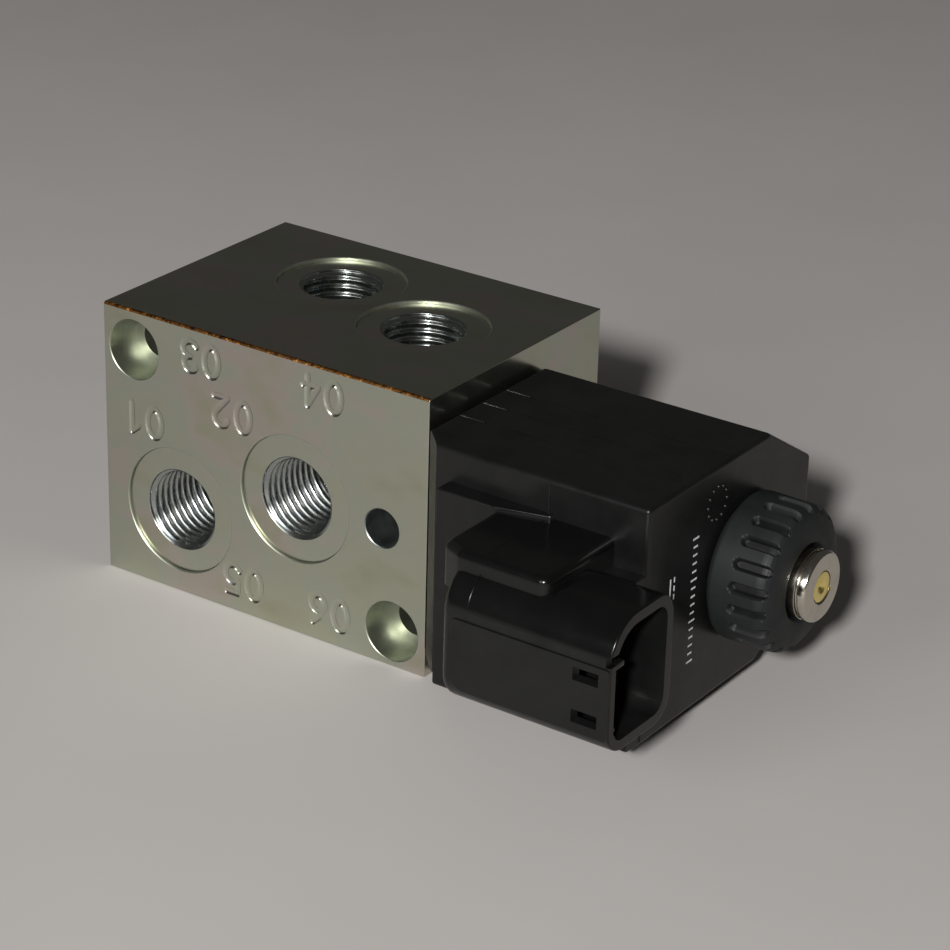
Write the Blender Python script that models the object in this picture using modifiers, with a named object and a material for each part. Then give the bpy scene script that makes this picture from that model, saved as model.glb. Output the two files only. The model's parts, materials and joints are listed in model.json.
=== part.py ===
"""Six-port solenoid directional valve with a swivelling direct-current coil.

A steel manifold block holds the spool; a push solenoid is screwed into its right end.
Sizes are in millimetres from the block's left, front, bottom corner, with +X along the spool
towards the solenoid, +Y to the block's back and +Z up. The helpers turn them into metres, and one
empty shifts the whole valve so that the origin is under the middle of its bounding box.
"""
import math

import bmesh
import bpy
from mathutils import Matrix, Vector

MM = 0.001
GAP = 0.3            # clearance kept between neighbouring solids
SEGMENTS = 24        # sides of a small round piece
FINE_SEGMENTS = 32   # sides of a large round piece

# Manifold block and the axis shared by the spool, the tube and the coil
BLOCK_LENGTH = 60.0
BLOCK_DEPTH = 44.0
BLOCK_HEIGHT = 44.0
BLOCK_BEVEL = 0.4
AXIS_Y = 22.0
AXIS_Z = 22.0

# G 1/4 ports: spotface, thread (cut at its mean radius) and the drilling down to the gallery
SPOTFACE_RADIUS = 10.05
SPOTFACE_DEPTH = 0.5
THREAD_RADIUS = 6.2
THREAD_DEPTH = 12.0
DRILL_RADIUS = 3.0

# Mounting holes through the block's depth, and the blind locating hole
BOLT_RADIUS = 3.0
COUNTERBORE_RADIUS = 4.7
COUNTERBORE_DEPTH = 6.0
BOLT_HOLES = ((5.8, 37.6), (54.0, 5.65))
LOCATING_HOLE = (52.0, 21.7)
LOCATING_DEPTH = 9.0

# Spool bore: six galleries at an even pitch, an end plug on the left, the pole's thread on the right
GALLERY_PITCH = 7.2
GALLERY_FIRST_X = 14.4
GALLERY_COUNT = 6
GALLERY_RADIUS = 7.2
GALLERY_WIDTH = 3.2
BORE_RADIUS = 5.0
PLUG_FLANGE_RADIUS = 9.5
PLUG_FLANGE = 2.5
PLUG_RADIUS = 7.9
PLUG_LENGTH = 7.5
POLE_THREAD_RADIUS = 9.7
POLE_THREAD_X = 53.1

# Spool at rest
SPOOL_LEFT_X = 11.0
SPOOL_RIGHT_X = 56.0
SPOOL_RADIUS = BORE_RADIUS - GAP
SPOOL_WAIST = 3.0
SPOOL_GROOVES = ((17.2, 29.0), (38.8, 50.6))
SPRING_POCKET = 2.8
SPRING_RADIUS = 2.1
SPRING_WIRE = 0.35
SPRING_TURNS = 5

# Solenoid tube
TUBE_RADIUS = 8.0
TUBE_BORE = 6.5
TUBE_RIGHT_X = 98.6
POLE_RIGHT_X = 76.0
PIN_RADIUS = 1.5
ARMATURE_LEFT_X = 80.2
ARMATURE_RIGHT_X = 94.0
STUD_RADIUS = 5.2
VALVE_LENGTH = 112.0
OVERRIDE_RADIUS = 2.1

# Coil: a 36 mm square moulding with a thicker front, and the two-pin connector beside it
COIL_LEFT_X = 60.7
COIL_RIGHT_X = 99.2
COIL_HALF = 18.0
COIL_FRONT_Y = -4.4
PANEL_FRONT_Y = -7.4
PANEL_LEFT_X = 66.5
PANEL_TOP_Z = 35.0
COIL_CHAMFER_Y = 27.5
COIL_CHAMFER_Z = 10.3
CORNER_CHAMFER = 3.7
STEP = 0.2           # how far one part of the moulding stands back from another
WINDING_LEFT_X = 63.5
WINDING_RIGHT_X = 96.5
WINDING_CAVITY = 16.2
CONNECTOR_LEFT_X = 79.0
CONNECTOR_MOUTH_X = 106.0
CONNECTOR_FRONT_Y = -24.0
CONNECTOR_BACK_Y = -8.2
CONNECTOR_BOTTOM_Z = 13.0
CONNECTOR_TOP_Z = 32.5
CONNECTOR_WALL = 1.7
CONNECTOR_FLOOR_X = 84.0
CONNECTOR_RADIUS = 4.0
CONNECTOR_CURVE = 6.2    # the wider radius along the connector's upper front
BOSS_LEFT_X = 76.4
BOSS_RIGHT_X = 94.0
BOSS_FRONT_Y = -20.0
BOSS_TOP_Z = 34.3
TERMINAL_RADIUS = 0.8
TERMINAL_PITCH = 5.6
TERMINAL_TIP_X = 100.0
TERMINAL_ROOT_X = 80.5

# Coil nut
NUT_LEFT_X = 99.5
NUT_RIGHT_X = 109.5
NUT_RADIUS = 10.9
NUT_GROOVES = 20
INSERT_RADIUS = 7.5

CONNECTOR_Y = (CONNECTOR_FRONT_Y + CONNECTOR_BACK_Y) / 2
CONNECTOR_Z = (CONNECTOR_BOTTOM_Z + CONNECTOR_TOP_Z) / 2
VALVE_MIDDLE_Y = (CONNECTOR_FRONT_Y + BLOCK_DEPTH) / 2
AXIS = (0.0, AXIS_Y, AXIS_Z)

FRONT = Vector((0, -1, 0))
TOP = Vector((0, 0, 1))
BOTTOM = Vector((0, 0, -1))

# Port name: outward direction, centre on the face, and the drilling's depth
PORTS = {
    "c3": (FRONT, (14.2, 0.0, 13.5), 20.0),
    "c2": (FRONT, (36.1, 0.0, 21.7), 15.5),
    "p2": (TOP, (22.8, 28.8, BLOCK_HEIGHT), 17.5),
    "p1": (TOP, (43.2, 21.8, BLOCK_HEIGHT), 15.5),
    "c4": (BOTTOM, (27.0, 29.0, 0.0), 17.5),
    "c1": (BOTTOM, (43.6, 15.5, 0.0), THREAD_DEPTH + 0.5),
}
# The last port's gallery lies beyond the port, so an angled drilling reaches it
ANGLED_DRILL = ((44.6, 16.0, 9.0), (50.6, 19.0, 17.2), 2.0)


def clear_scene():
    for obj in list(bpy.data.objects):
        bpy.data.objects.remove(obj, do_unlink=True)


def make_collection(name):
    collection = bpy.data.collections.new(name)
    bpy.context.scene.collection.children.link(collection)
    return collection


def make_material(name, colour, roughness, metallic):
    material = bpy.data.materials.new(name)
    material.use_nodes = True
    shader = material.node_tree.nodes["Principled BSDF"]
    shader.inputs["Base Color"].default_value = (*colour, 1.0)
    shader.inputs["Roughness"].default_value = roughness
    shader.inputs["Metallic"].default_value = metallic
    material.diffuse_color = (*colour, 1.0)
    return material


clear_scene()
VALVE = make_collection("solenoid_directional_valve")
CUTTERS = make_collection("cutters")
FRAME = bpy.data.objects.new("valve_frame", None)
FRAME.location = (-VALVE_LENGTH / 2 * MM, -VALVE_MIDDLE_Y * MM, 0.0)
VALVE.objects.link(FRAME)

FINISHES = {
    "zinc_steel": ((0.40, 0.39, 0.32), 0.38, 0.9),
    "bright_steel": ((0.62, 0.61, 0.58), 0.25, 1.0),
    "nickel": ((0.66, 0.63, 0.57), 0.2, 1.0),
    "brass": ((0.72, 0.56, 0.22), 0.3, 1.0),
    "copper": ((0.72, 0.36, 0.18), 0.35, 1.0),
    "black_nylon": ((0.018, 0.018, 0.018), 0.4, 0.0),
    "rubber": ((0.012, 0.012, 0.012), 0.7, 0.0),
    "natural_nylon": ((0.55, 0.5, 0.4), 0.5, 0.0),
}


def add_object(name, mesh, origin=(0.0, 0.0, 0.0), finish=None):
    """Put a mesh in the scene: a named piece with its own material, or a cutter if it has no finish."""
    mesh.transform(Matrix.Translation(-Vector(origin) * MM))
    obj = bpy.data.objects.new(name, mesh)
    obj.parent = FRAME
    obj.location = Vector(origin) * MM
    if finish is None:
        CUTTERS.objects.link(obj)
        obj.hide_render = True
        obj.display_type = "WIRE"
    else:
        VALVE.objects.link(obj)
        mesh.materials.append(make_material(name, *FINISHES[finish]))
    return obj


def mesh_from(bm, name):
    mesh = bpy.data.meshes.new(name)
    bm.to_mesh(mesh)
    bm.free()
    return mesh


def box_mesh(name, low, high):
    low, high = Vector(low), Vector(high)
    bm = bmesh.new()
    size = Matrix.Diagonal((*(high - low) * MM, 1.0))
    bmesh.ops.create_cube(bm, size=1.0, matrix=Matrix.Translation((low + high) / 2 * MM) @ size)
    return mesh_from(bm, name)


def add_cylinder(bm, start, end, radius, segments=SEGMENTS):
    start, end = Vector(start), Vector(end)
    turn = (end - start).to_track_quat("Z", "Y").to_matrix().to_4x4()
    bmesh.ops.create_cone(bm, cap_ends=True, segments=segments, radius1=radius * MM,
                          radius2=radius * MM, depth=(end - start).length * MM,
                          matrix=Matrix.Translation((start + end) / 2 * MM) @ turn)


def cylinder_mesh(name, start, end, radius, segments=SEGMENTS):
    bm = bmesh.new()
    add_cylinder(bm, start, end, radius, segments)
    return mesh_from(bm, name)


def turned(name, profile, finish=None, segments=SEGMENTS):
    """Turn (x, radius) points about the valve's axis.

    The points run right to left along the outside, then left to right along the bore. The outline
    is closed unless it starts on the axis.
    """
    mesh = bpy.data.meshes.new(name)
    points = [(radius * MM, 0.0, x * MM) for x, radius in profile]
    edges = [(i, i + 1) for i in range(len(points) - 1)]
    if profile[0][1] > 0:
        edges.append((len(points) - 1, 0))
    mesh.from_pydata(points, edges, [])
    obj = add_object(name, mesh, finish=finish)
    obj.location = Vector(AXIS) * MM
    obj.rotation_euler = (0.0, math.pi / 2, 0.0)
    screw = obj.modifiers.new("turn", "SCREW")
    screw.angle = 2 * math.pi
    screw.steps = segments
    screw.render_steps = segments
    screw.use_merge_vertices = True
    screw.merge_threshold = 1e-6
    return obj


def o_ring(name, x, ring_radius, cord_radius, finish="rubber"):
    """An O-ring around the valve's axis, its cord turned as an eight-sided circle."""
    sides = 8
    turns = [math.pi / 2 - 2 * math.pi * i / sides for i in range(sides)]
    profile = [(x + cord_radius * math.sin(t), ring_radius + cord_radius * math.cos(t)) for t in turns]
    return turned(name, profile, finish)


def rounded_outline(corners, radii, steps=5):
    """The corners of an outline, in order, with an arc of the given radius at each."""
    outline = []
    for i, corner in enumerate(corners):
        here = Vector(corner)
        before = (Vector(corners[i - 1]) - here).normalized()
        after = (Vector(corners[(i + 1) % len(corners)]) - here).normalized()
        radius = radii[i]
        if radius <= 0:
            outline.append(tuple(here))
            continue
        half = before.angle(after) / 2
        centre = here + (before + after).normalized() * radius / math.sin(half)
        first = here + before * radius / math.tan(half) - centre
        last = here + after * radius / math.tan(half) - centre
        sweep = first.angle_signed(last)
        for step in range(steps + 1):
            turn = Matrix.Rotation(-sweep * step / steps, 2)
            outline.append(tuple(centre + turn @ first))
    return outline


def slab(name, outline, left_x, right_x, origin=(0.0, 0.0, 0.0), finish=None):
    """A (y, z) outline extruded along X, as a mesh object."""
    curve = bpy.data.curves.new(name + "_outline", "CURVE")
    curve.dimensions = "2D"
    curve.fill_mode = "BOTH"
    curve.extrude = (right_x - left_x) / 2 * MM
    spline = curve.splines.new("POLY")
    spline.points.add(len(outline) - 1)
    for point, (y, z) in zip(spline.points, outline):
        point.co = (y * MM, z * MM, 0.0, 1.0)
    spline.use_cyclic_u = True
    sheet = bpy.data.objects.new(name + "_outline", curve)
    CUTTERS.objects.link(sheet)
    bpy.context.view_layer.update()
    mesh = bpy.data.meshes.new_from_object(sheet.evaluated_get(bpy.context.evaluated_depsgraph_get()))
    bpy.data.objects.remove(sheet)
    bm = bmesh.new()
    bm.from_mesh(mesh)
    bmesh.ops.remove_doubles(bm, verts=bm.verts, dist=1e-6)
    bmesh.ops.recalc_face_normals(bm, faces=bm.faces)
    stand_up = Matrix(((0, 0, 1, (left_x + right_x) / 2 * MM), (1, 0, 0, 0), (0, 1, 0, 0), (0, 0, 0, 1)))
    bm.transform(stand_up)
    mesh = mesh_from(bm, name)
    return add_object(name, mesh, origin, finish)


def rod(name, points, radius, finish):
    """A round wire through the points, with closed ends, as a mesh object."""
    curve = bpy.data.curves.new(name + "_path", "CURVE")
    curve.dimensions = "3D"
    curve.bevel_depth = radius * MM
    curve.bevel_resolution = 2
    curve.use_fill_caps = True
    spline = curve.splines.new("POLY")
    spline.points.add(len(points) - 1)
    for point, place in zip(spline.points, points):
        point.co = (*(Vector(place) * MM), 1.0)
    path = bpy.data.objects.new(name + "_path", curve)
    CUTTERS.objects.link(path)
    bpy.context.view_layer.update()
    mesh = bpy.data.meshes.new_from_object(path.evaluated_get(bpy.context.evaluated_depsgraph_get()))
    bpy.data.objects.remove(path)
    bm = bmesh.new()
    bm.from_mesh(mesh)
    bmesh.ops.remove_doubles(bm, verts=bm.verts, dist=1e-6)
    bmesh.ops.recalc_face_normals(bm, faces=bm.faces)
    return add_object(name, mesh_from(bm, name), AXIS, finish)


def join(target, other, operation):
    """Add a Boolean with another object to a piece."""
    modifier = target.modifiers.new(other.name, "BOOLEAN")
    modifier.operation = operation
    modifier.solver = "EXACT"
    modifier.object = other


def cut(target, other):
    join(target, other, "DIFFERENCE")


def fuse(target, other):
    join(target, other, "UNION")


def smooth(obj):
    obj.data.shade_smooth()
    obj.data.set_sharp_from_angle(angle=math.radians(30))


def gallery_xs():
    return [GALLERY_FIRST_X + GALLERY_PITCH * i for i in range(GALLERY_COUNT)]


def cut_port(block, name, outward, centre, drill_depth):
    """Spotface, thread bore and drilling of one port."""
    centre = Vector(centre)
    outside = centre + outward
    steps = (
        ("spotface", outside, SPOTFACE_DEPTH, SPOTFACE_RADIUS, FINE_SEGMENTS),
        ("thread", outside, THREAD_DEPTH, THREAD_RADIUS, SEGMENTS),
        ("drill", centre - outward, drill_depth, DRILL_RADIUS, SEGMENTS),
    )
    for step, start, depth, radius, segments in steps:
        cutter_name = f"{name}_{step}"
        mesh = cylinder_mesh(cutter_name, start, centre - outward * depth, radius, segments)
        cut(block, add_object(cutter_name, mesh))


def build_block():
    mesh = box_mesh("manifold_block", (0, 0, 0), (BLOCK_LENGTH, BLOCK_DEPTH, BLOCK_HEIGHT))
    block = add_object("manifold_block", mesh, finish="zinc_steel")
    bevel = block.modifiers.new("edges", "BEVEL")
    bevel.width = BLOCK_BEVEL * MM
    bore = [(BLOCK_LENGTH + 1, 0.0), (BLOCK_LENGTH + 1, POLE_THREAD_RADIUS + GAP),
            (POLE_THREAD_X - GAP, POLE_THREAD_RADIUS + GAP), (POLE_THREAD_X - GAP, BORE_RADIUS)]
    for x in reversed(gallery_xs()):
        left, right = x - GALLERY_WIDTH / 2, x + GALLERY_WIDTH / 2
        bore += [(right, BORE_RADIUS), (right, GALLERY_RADIUS), (left, GALLERY_RADIUS), (left, BORE_RADIUS)]
    plug_bore = PLUG_RADIUS + GAP
    bore += [(PLUG_LENGTH + GAP, BORE_RADIUS), (PLUG_LENGTH + GAP, plug_bore),
             (PLUG_FLANGE + GAP, plug_bore), (PLUG_FLANGE + GAP, PLUG_FLANGE_RADIUS + GAP),
             (-1.0, PLUG_FLANGE_RADIUS + GAP), (-1.0, 0.0)]
    cut(block, turned("spool_bore", bore, segments=FINE_SEGMENTS))
    for name, (outward, centre, drill_depth) in PORTS.items():
        cut_port(block, name, outward, centre, drill_depth)
    start, end, radius = ANGLED_DRILL
    cut(block, add_object("angled_drill", cylinder_mesh("angled_drill", start, end, radius)))
    for number, (x, z) in enumerate(BOLT_HOLES, 1):
        mesh = cylinder_mesh("bolt_hole", (x, -1, z), (x, BLOCK_DEPTH + 1, z), BOLT_RADIUS)
        cut(block, add_object(f"bolt_hole_{number}", mesh))
        mesh = cylinder_mesh("counterbore", (x, -1, z), (x, COUNTERBORE_DEPTH, z), COUNTERBORE_RADIUS)
        cut(block, add_object(f"counterbore_{number}", mesh))
    x, z = LOCATING_HOLE
    mesh = cylinder_mesh("locating_hole", (x, -1, z), (x, LOCATING_DEPTH, z), BOLT_RADIUS)
    cut(block, add_object("locating_hole", mesh))


def build_end_plug():
    """Flush plug with a hexagon socket outside and a spring pocket inside, and its O-ring."""
    neck = 6.1
    neck_right = 4.5
    pocket_x = 4.2
    pocket = SPRING_POCKET + 0.2
    profile = [(PLUG_LENGTH, pocket), (PLUG_LENGTH, PLUG_RADIUS), (neck_right, PLUG_RADIUS),
               (neck_right, neck), (PLUG_FLANGE, neck), (PLUG_FLANGE, PLUG_FLANGE_RADIUS),
               (0.4, PLUG_FLANGE_RADIUS), (0.0, PLUG_FLANGE_RADIUS - 0.4), (0.0, 0.0)]
    plug = turned("end_plug", [(pocket_x, 0.0), (pocket_x, pocket)] + profile, "zinc_steel")
    socket_depth = 3.2
    socket_radius = 3.46
    mesh = cylinder_mesh("hex_socket", (-1.0, AXIS_Y, AXIS_Z), (socket_depth, AXIS_Y, AXIS_Z),
                         socket_radius, segments=6)
    cut(plug, add_object("hex_socket", mesh))
    o_ring("end_plug_seal", (PLUG_FLANGE + neck_right) / 2, 7.15, 0.7)


def build_spool():
    profile = [(SPOOL_RIGHT_X, 0.0), (SPOOL_RIGHT_X, SPOOL_RADIUS - 0.4), (SPOOL_RIGHT_X - 0.4, SPOOL_RADIUS)]
    for left, right in reversed(SPOOL_GROOVES):
        profile += [(right, SPOOL_RADIUS), (right, SPOOL_WAIST), (left, SPOOL_WAIST), (left, SPOOL_RADIUS)]
    pocket_end = SPOOL_LEFT_X + 4.5
    profile += [(SPOOL_LEFT_X + 0.4, SPOOL_RADIUS), (SPOOL_LEFT_X, SPOOL_RADIUS - 0.4),
                (SPOOL_LEFT_X, SPRING_POCKET), (pocket_end, SPRING_POCKET), (pocket_end, 0.0)]
    turned("spool", profile, "bright_steel")


def build_spring():
    left_x, right_x = 4.9, SPOOL_LEFT_X + 4.1
    points_per_turn = 10
    count = SPRING_TURNS * points_per_turn
    points = []
    for i in range(count + 1):
        angle = 2 * math.pi * i / points_per_turn
        x = left_x + (right_x - left_x) * i / count
        points.append((x, AXIS_Y + SPRING_RADIUS * math.cos(angle), AXIS_Z + SPRING_RADIUS * math.sin(angle)))
    rod("spool_spring", points, SPRING_WIRE, "bright_steel")


def build_tube():
    """Pole piece, guide tube, end stop and the pieces that move inside them."""
    pole_bore = PIN_RADIUS + 0.4
    pole_radius = TUBE_BORE - GAP
    shoulder_x = BLOCK_LENGTH - GAP
    groove_left, groove_right, groove_radius = 57.2, 58.9, 8.4
    spool_pocket_x, spool_pocket = 57.2, 5.3
    turned("pole_piece", [
        (POLE_RIGHT_X, pole_radius), (shoulder_x, pole_radius), (shoulder_x, POLE_THREAD_RADIUS),
        (groove_right, POLE_THREAD_RADIUS), (groove_right, groove_radius), (groove_left, groove_radius),
        (groove_left, POLE_THREAD_RADIUS), (POLE_THREAD_X, POLE_THREAD_RADIUS),
        (POLE_THREAD_X, spool_pocket), (spool_pocket_x, spool_pocket), (spool_pocket_x, pole_bore),
        (POLE_RIGHT_X, pole_bore)], "bright_steel")
    o_ring("pole_seal", (groove_left + groove_right) / 2, 9.2, 0.5)
    turned("guide_tube", [(TUBE_RIGHT_X, TUBE_RADIUS), (BLOCK_LENGTH, TUBE_RADIUS),
                          (BLOCK_LENGTH, TUBE_BORE), (TUBE_RIGHT_X, TUBE_BORE)], "nickel")
    shim_left, shim_right = POLE_RIGHT_X + GAP, POLE_RIGHT_X + GAP + 0.6
    turned("anti_stick_shim", [(shim_right, 5.8), (shim_left, 5.8), (shim_left, 2.2), (shim_right, 2.2)],
           "brass")
    turned("push_pin", [(ARMATURE_LEFT_X - GAP, 0.0), (ARMATURE_LEFT_X - GAP, PIN_RADIUS),
                        (SPOOL_RIGHT_X + GAP, PIN_RADIUS), (SPOOL_RIGHT_X + GAP, 0.0)],
           "bright_steel", 16)
    chamfer = 0.4
    turned("armature", [
        (ARMATURE_RIGHT_X, 0.0), (ARMATURE_RIGHT_X, pole_radius - chamfer),
        (ARMATURE_RIGHT_X - chamfer, pole_radius), (ARMATURE_LEFT_X + chamfer, pole_radius),
        (ARMATURE_LEFT_X, pole_radius - chamfer), (ARMATURE_LEFT_X, 0.0)], "bright_steel")
    build_end_stop(pole_radius)


def build_end_stop(plug_radius):
    """Nickel-plated end of the tube: a grooved stud for the coil nut, with the override pin inside."""
    plug_left = 97.0
    pin_bore = OVERRIDE_RADIUS + GAP
    gland_left, gland_right, gland_radius = 102.2, 104.2, 3.65
    groove_left, groove_right, groove_radius = 110.2, 111.0, 4.6
    turned("end_stop", [
        (VALVE_LENGTH, STUD_RADIUS - 0.3), (VALVE_LENGTH - 0.3, STUD_RADIUS),
        (groove_right, STUD_RADIUS), (groove_right, groove_radius), (groove_left, groove_radius),
        (groove_left, STUD_RADIUS), (TUBE_RIGHT_X, STUD_RADIUS), (TUBE_RIGHT_X, plug_radius),
        (plug_left, plug_radius), (plug_left, pin_bore), (gland_left, pin_bore),
        (gland_left, gland_radius), (gland_right, gland_radius), (gland_right, pin_bore),
        (VALVE_LENGTH, pin_bore)], "nickel")
    o_ring("override_pin_seal", (gland_left + gland_right) / 2, 2.85, 0.45)
    head_right, head_radius = plug_left - GAP, 3.0
    tip_x = VALVE_LENGTH - 0.1
    turned("override_pin", [
        (tip_x - 0.5, 0.0), (tip_x, 0.7), (tip_x, OVERRIDE_RADIUS), (head_right, OVERRIDE_RADIUS),
        (head_right, head_radius), (ARMATURE_RIGHT_X + GAP, head_radius),
        (ARMATURE_RIGHT_X + GAP, 0.0)], "brass", 24)


def coil_outline():
    """The coil's outline in (y, z), front bottom corner first."""
    bottom, top, back = AXIS_Z - COIL_HALF, AXIS_Z + COIL_HALF, AXIS_Y + COIL_HALF
    corners = [(COIL_FRONT_Y, bottom), (COIL_CHAMFER_Y, bottom), (back, AXIS_Z - COIL_CHAMFER_Z),
               (back, AXIS_Z + COIL_CHAMFER_Z), (COIL_CHAMFER_Y, top), (COIL_FRONT_Y, top)]
    return rounded_outline(corners, (0.8, 0.0, 0.8, 0.8, 0.0, 0.8), 2)


def connector_outline(inset):
    """The connector's rounded rectangle in (y, z), moved inwards by inset."""
    front, back = CONNECTOR_FRONT_Y + inset, CONNECTOR_BACK_Y - inset
    bottom, top = CONNECTOR_BOTTOM_Z + inset, CONNECTOR_TOP_Z - inset
    radius = CONNECTOR_RADIUS - inset
    corners = [(front, bottom), (back, bottom), (back, top), (front, top)]
    return rounded_outline(corners, (radius, radius, radius, CONNECTOR_CURVE - inset))


def build_coil_housing():
    housing = slab("coil_housing", coil_outline(), COIL_LEFT_X, COIL_RIGHT_X, AXIS, "black_nylon")
    corner = Vector((COIL_LEFT_X, COIL_FRONT_Y, AXIS_Z))
    wedge = box_mesh("corner_chamfer", (-5, -5, -COIL_HALF - 1), (5, 5, COIL_HALF + 1))
    wedge.transform(Matrix.Rotation(math.pi / 4, 4, "Z"))
    shift = corner + Vector((-1, -1, 0)) * (5 / math.sqrt(2) - CORNER_CHAMFER / 2)
    wedge.transform(Matrix.Translation(shift * MM))
    cut(housing, add_object("corner_chamfer", wedge))

    bottom = AXIS_Z - COIL_HALF + STEP
    side = PANEL_FRONT_Y - COIL_FRONT_Y
    panel = [(COIL_FRONT_Y + 1, bottom), (COIL_FRONT_Y + 1, PANEL_TOP_Z + 1), (COIL_FRONT_Y, PANEL_TOP_Z),
             (PANEL_FRONT_Y, PANEL_TOP_Z + side / 2), (PANEL_FRONT_Y, bottom)]
    fuse(housing, slab("front_panel", list(reversed(panel)), PANEL_LEFT_X, COIL_RIGHT_X - STEP))
    fuse(housing, slab("connector_body", connector_outline(0.0), CONNECTOR_LEFT_X, CONNECTOR_MOUTH_X))
    mesh = box_mesh("connector_root",
                    (CONNECTOR_LEFT_X + STEP, CONNECTOR_BACK_Y - 1.2, CONNECTOR_BOTTOM_Z + 3),
                    (COIL_RIGHT_X - 2 * STEP, COIL_FRONT_Y + 1.2, CONNECTOR_TOP_Z - 1))
    fuse(housing, add_object("connector_root", mesh))
    mesh = box_mesh("connector_boss", (BOSS_LEFT_X, BOSS_FRONT_Y, CONNECTOR_TOP_Z - 3),
                    (BOSS_RIGHT_X, COIL_FRONT_Y + 1, BOSS_TOP_Z))
    fuse(housing, add_object("connector_boss", mesh))
    cut_coil_housing(housing)


def cut_coil_housing(housing):
    """Winding cavity, seal recesses, connector cavity, its slot and windows, and the terminals' channels."""
    bore = TUBE_RADIUS + GAP
    left_recess, right_recess, recess_radius = 62.3, 97.6, 10.0
    cut(housing, turned("winding_cavity", [
        (COIL_RIGHT_X + 1, 0.0), (COIL_RIGHT_X + 1, recess_radius), (right_recess, recess_radius),
        (right_recess, bore), (WINDING_RIGHT_X, bore), (WINDING_RIGHT_X, WINDING_CAVITY),
        (WINDING_LEFT_X, WINDING_CAVITY), (WINDING_LEFT_X, bore), (left_recess, bore),
        (left_recess, recess_radius), (COIL_LEFT_X - 1, recess_radius), (COIL_LEFT_X - 1, 0.0)],
        segments=FINE_SEGMENTS))
    cut(housing, slab("connector_cavity", connector_outline(CONNECTOR_WALL), CONNECTOR_FLOOR_X,
                      CONNECTOR_MOUTH_X + 1))
    front, inside = CONNECTOR_FRONT_Y - 1, CONNECTOR_FRONT_Y + CONNECTOR_WALL + 0.5
    openings = {
        "key_slot": ((CONNECTOR_MOUTH_X - 4, front, 26.2), (CONNECTOR_MOUTH_X + 1, inside, 28.4)),
        "upper_window": ((100.6, front, 23.4), (104.4, inside, 25.2)),
        "lower_window": ((100.6, front, 17.2), (104.4, inside, 19.0)),
    }
    for name, (low, high) in openings.items():
        cut(housing, add_object(name, box_mesh(name, low, high)))
    channel = TERMINAL_RADIUS + GAP
    winding_y = AXIS_Y - WINDING_CAVITY + 1.5
    for side, z in terminal_heights().items():
        along = cylinder_mesh("channel", (TERMINAL_ROOT_X, CONNECTOR_Y, z),
                              (CONNECTOR_FLOOR_X + 1, CONNECTOR_Y, z), channel, segments=16)
        cut(housing, add_object(f"{side}_channel", along))
        wide = channel + STEP
        across = box_mesh("cross_channel", (TERMINAL_ROOT_X - wide, CONNECTOR_Y - wide, z - wide),
                          (TERMINAL_ROOT_X + wide, winding_y, z + wide))
        cut(housing, add_object(f"{side}_cross_channel", across))


def terminal_heights():
    return {"lower": CONNECTOR_Z - TERMINAL_PITCH / 2, "upper": CONNECTOR_Z + TERMINAL_PITCH / 2}


def build_terminals():
    """Two contact pins that bend round to the winding."""
    inner_y = AXIS_Y - WINDING_CAVITY - 0.6
    for side, z in terminal_heights().items():
        rod(f"{side}_terminal", [
            (TERMINAL_TIP_X, CONNECTOR_Y, z), (TERMINAL_ROOT_X, CONNECTOR_Y, z),
            (TERMINAL_ROOT_X, inner_y, z)], TERMINAL_RADIUS, "nickel")


def build_winding():
    """Flux washers and sleeve, bobbin and winding, each clear of the next by the gap."""
    bore = TUBE_RADIUS + 0.4
    outer = WINDING_CAVITY - GAP
    washer = 3.0
    left, right = WINDING_LEFT_X + GAP, WINDING_RIGHT_X - GAP
    for name, low, high in (("inner_flux_washer", left, left + washer),
                            ("outer_flux_washer", right - washer, right)):
        turned(name, [(high, outer), (low, outer), (low, bore), (high, bore)], "bright_steel",
               FINE_SEGMENTS)
    left, right = left + washer + GAP, right - washer - GAP
    sleeve = 14.3
    turned("flux_sleeve", [(right, outer), (left, outer), (left, sleeve), (right, sleeve)],
           "bright_steel", FINE_SEGMENTS)
    flange, flange_radius, barrel = 1.2, sleeve - GAP, 9.3
    turned("bobbin", [
        (right, flange_radius), (right - flange, flange_radius), (right - flange, barrel),
        (left + flange, barrel), (left + flange, flange_radius), (left, flange_radius), (left, bore),
        (right, bore)], "natural_nylon", FINE_SEGMENTS)
    left, right = left + flange + GAP, right - flange - GAP
    outer, inner = flange_radius - GAP, barrel + GAP
    turned("winding", [(right, outer), (left, outer), (left, inner), (right, inner)], "copper",
           FINE_SEGMENTS)


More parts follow.
